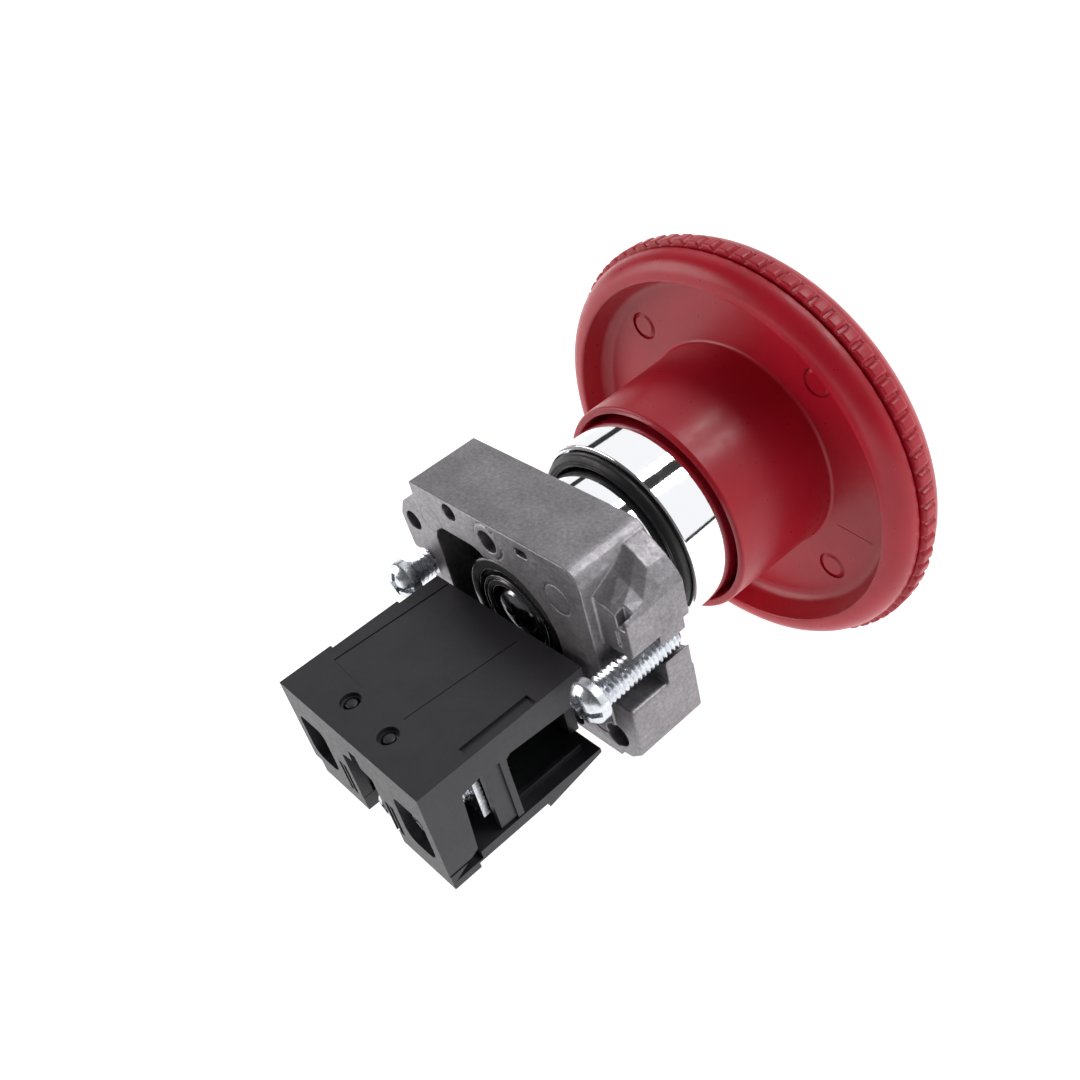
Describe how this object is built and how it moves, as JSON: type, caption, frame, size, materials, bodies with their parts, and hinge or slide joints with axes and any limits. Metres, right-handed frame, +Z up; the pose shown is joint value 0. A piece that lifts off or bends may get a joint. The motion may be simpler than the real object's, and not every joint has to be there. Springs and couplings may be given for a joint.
{
  "type": "emergency stop pushbutton",
  "caption": "Panel-mount emergency stop button: red mushroom head, chromed bezel, die-cast collar with clamp screws, and a screwed-on contact block.",
  "frame": {"origin": "on the button axis, in the plane of the panel's front surface", "axes": "-Y towards the mushroom head (front), +Y towards the contact block (rear), +Z up, +X along the collar's long side"},
  "size_m": [0.0624, 0.0785, 0.0624],
  "materials": {
    "red_plastic": "satin moulded",
    "black_plastic": "glossy",
    "charcoal_plastic": "satin moulded",
    "green_plastic": "satin moulded",
    "rubber": "satin",
    "chrome": "polished",
    "die_cast_zinc": "raw die-cast",
    "plated_steel": "bright zinc plate",
    "spring_steel": "drawn wire",
    "brass": "stamped",
    "silver": "satin"
  },
  "bodies": {
    "operator": {"bezel_body": "chrome", "panel_gasket": "rubber", "shaft_seal": "rubber", "latch_ring": "spring_steel", "return_spring": "spring_steel", "collar": "die_cast_zinc", "block_housing": "charcoal_plastic", "block_base": "charcoal_plastic", "fixed_contact_left": "plated_steel", "fixed_contact_right": "plated_steel", "fixed_tip_left": "silver", "fixed_tip_right": "silver", "plunger_spring": "spring_steel"},
    "stem": {"stem": "black_plastic"},
    "head": {"mushroom_cap": "red_plastic", "mushroom_dish": "red_plastic", "hub_insert": "brass", "head_screw": "plated_steel"},
    "plunger": {"contact_plunger": "green_plastic", "contact_spring": "spring_steel"},
    "bridge": {"contact_bridge": "brass", "bridge_tip_left": "silver", "bridge_tip_right": "silver"},
    "clamp_screw_left": {"clamp_screw_left": "plated_steel"},
    "clamp_screw_right": {"clamp_screw_right": "plated_steel"},
    "fixing_screw": {"block_fixing_screw": "plated_steel"},
    "terminal_clamp_left": {"terminal_clamp_left": "plated_steel"},
    "terminal_screw_left": {"terminal_screw_left": "plated_steel"},
    "terminal_clamp_right": {"terminal_clamp_right": "plated_steel"},
    "terminal_screw_right": {"terminal_screw_right": "plated_steel"}
  },
  "joints": [
    {"name": "head_push", "type": "slide", "parent": "operator", "child": "stem", "axis": [0, 1, 0], "range_m": [-0.0055, 0], "deforming": ["return_spring"]},
    {"name": "head_twist", "type": "hinge", "parent": "stem", "child": "head", "pos_m": [0, -0.02, 0], "axis": [0, 1, 0], "range_deg": [0, 45], "stiffness_Nm_per_rad": 0.04},
    {"name": "plunger_push", "type": "slide", "parent": "operator", "child": "plunger", "axis": [0, 1, 0], "range_m": [-0.0055, 0], "deforming": ["plunger_spring"]},
    {"name": "bridge_move", "type": "slide", "parent": "operator", "child": "bridge", "axis": [0, 1, 0], "range_m": [-0.00402, 0], "deforming": ["contact_spring"]},
    {"name": "clamp_screw_left_turn", "type": "hinge", "parent": "operator", "child": "clamp_screw_left", "pos_m": [0.0183, 0.022, 0], "axis": [0, 1, 0], "range_deg": [-1080, 1080]},
    {"name": "clamp_screw_right_turn", "type": "hinge", "parent": "operator", "child": "clamp_screw_right", "pos_m": [-0.0183, 0.022, 0], "axis": [0, 1, 0], "range_deg": [-1080, 1080]},
    {"name": "fixing_screw_turn", "type": "hinge", "parent": "operator", "child": "fixing_screw", "pos_m": [-0.0006, 0.0424, -0.0121], "axis": [0, 1, 0], "range_deg": [0, 1800]},
    {"name": "terminal_clamp_left_move", "type": "slide", "parent": "operator", "child": "terminal_clamp_left", "axis": [0, 1, 0], "range_m": [-0.0003, 0.0016]},
    {"name": "terminal_screw_left_turn", "type": "hinge", "parent": "terminal_clamp_left", "child": "terminal_screw_left", "pos_m": [0.0112, 0.0403, -0.0078], "axis": [0, 1, 0], "range_deg": [-154.3, 822.9]},
    {"name": "terminal_clamp_right_move", "type": "slide", "parent": "operator", "child": "terminal_clamp_right", "axis": [0, 1, 0], "range_m": [-0.0019, 0]},
    {"name": "terminal_screw_right_turn", "type": "hinge", "parent": "terminal_clamp_right", "child": "terminal_screw_right", "pos_m": [-0.0096, 0.0419, -0.0078], "axis": [0, 1, 0], "range_deg": [-977.2, 0]}
  ],
  "couplings": [
    {"joint": "plunger_push", "follows": "head_push", "ratio": 1},
    {"joint": "bridge_move", "follows": "head_push", "ratio": 0.73},
    {"joint": "terminal_screw_left_turn", "follows": "terminal_clamp_left_move", "rad_per_m": 8976},
    {"joint": "terminal_screw_right_turn", "follows": "terminal_clamp_right_move", "rad_per_m": 8976}
  ]
}
